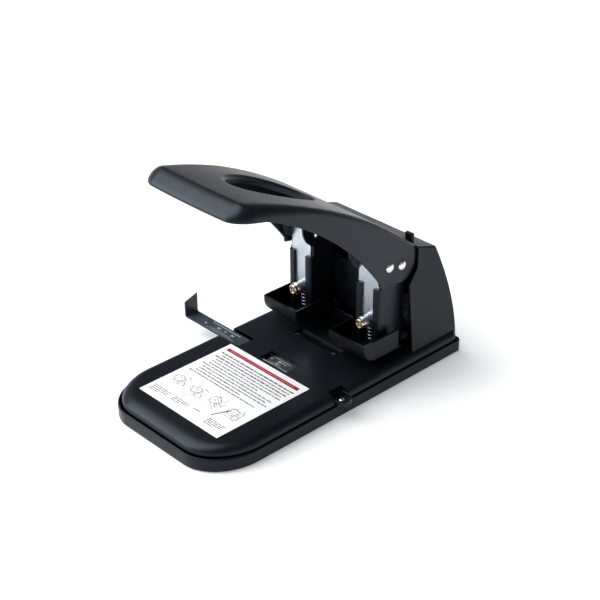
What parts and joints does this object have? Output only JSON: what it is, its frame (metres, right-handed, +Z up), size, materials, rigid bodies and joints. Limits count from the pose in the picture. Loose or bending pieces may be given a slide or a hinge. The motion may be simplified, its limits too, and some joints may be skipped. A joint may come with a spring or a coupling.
{
  "type": "hole punch",
  "caption": "Heavy-duty lever hole punch: long steel handle, channel uprights with sliding punches, throat guards, rear cover, flat base and pull-out paper guide.",
  "frame": {"origin": "middle of the centre foot's underside, on the surface that the punch stands on, at the middle of the base's length and width", "axes": "+X to the right as seen from the front edge, +Y from the front edge to the rear cover, +Z up"},
  "size_m": [0.1963, 0.28, 0.2093],
  "materials": {
    "moulded_plastic": "fine moulded texture, black",
    "foot_rubber": "matt black rubber",
    "black_powder_coat": "fine black powder coat on steel sheet",
    "handle_enamel": "semi-matt black stoved enamel on pressed steel",
    "label_film": "printed white film",
    "zinc_plate": "bright zinc plate",
    "bright_nickel": "bright nickel plate",
    "yellow_zinc": "yellow passivated zinc plate",
    "tool_steel": "ground tool steel",
    "plain_steel": "drawn steel, clear zinc",
    "black_screw": "blacked steel",
    "guide_steel": "dark phosphated steel strip"
  },
  "bodies": {
    "frame": {"base_tray": "moulded_plastic", "rubber_feet": "foot_rubber", "base_plate": "black_powder_coat", "instruction_label": "label_film", "side_lug": "black_powder_coat", "lug_screw": "bright_nickel", "guide_rail": "plain_steel", "guide_spring": "plain_steel", "die_plate": "tool_steel", "die_screws": "plain_steel", "left_die": "tool_steel", "right_die": "tool_steel", "back_stop": "black_powder_coat", "left_upright": "black_powder_coat", "right_upright": "black_powder_coat", "upright_bolts": "plain_steel", "cross_brace": "black_powder_coat", "brace_rivets": "plain_steel", "left_punch_guide": "tool_steel", "right_punch_guide": "tool_steel", "guard_screws": "plain_steel", "left_throat_guard": "moulded_plastic", "right_throat_guard": "moulded_plastic", "left_pivot_pin": "bright_nickel", "right_pivot_pin": "bright_nickel", "left_return_spring": "plain_steel", "right_return_spring": "plain_steel", "rear_cover": "moulded_plastic", "cover_bracket": "plain_steel", "cover_screws": "black_screw", "handle_stop": "moulded_plastic"},
    "handle": {"handle_shell": "handle_enamel", "left_drive_pin": "bright_nickel", "right_drive_pin": "bright_nickel"},
    "paper_guide": {"paper_guide": "guide_steel"},
    "left_punch_unit": {"left_slider": "zinc_plate", "left_punch_holder": "zinc_plate", "left_clamp_bolt": "yellow_zinc", "left_punch": "tool_steel"},
    "right_punch_unit": {"right_slider": "zinc_plate", "right_punch_holder": "zinc_plate", "right_clamp_bolt": "yellow_zinc", "right_punch": "tool_steel"}
  },
  "joints": [
    {"name": "handle_press", "type": "hinge", "parent": "frame", "child": "handle", "pos_m": [0, 0.077, 0.101], "axis": [1, 0, 0], "range_deg": [0, 40], "stiffness_Nm_per_rad": 1.2, "springref_deg": -34.38},
    {"name": "left_punch_slide", "type": "slide", "parent": "frame", "child": "left_punch_unit", "axis": [0, 0, -1], "range_m": [0, 0.0099], "deforming": ["left_return_spring"]},
    {"name": "right_punch_slide", "type": "slide", "parent": "frame", "child": "right_punch_unit", "axis": [0, 0, -1], "range_m": [0, 0.0099], "deforming": ["right_return_spring"]},
    {"name": "paper_guide_slide", "type": "slide", "parent": "frame", "child": "paper_guide", "axis": [1, 0, 0], "range_m": [-0.03, 0.044]}
  ],
  "couplings": [
    {"joint": "left_punch_slide", "follows": "handle_press", "m_per_rad": 0.014013},
    {"joint": "right_punch_slide", "follows": "handle_press", "m_per_rad": 0.014013}
  ]
}
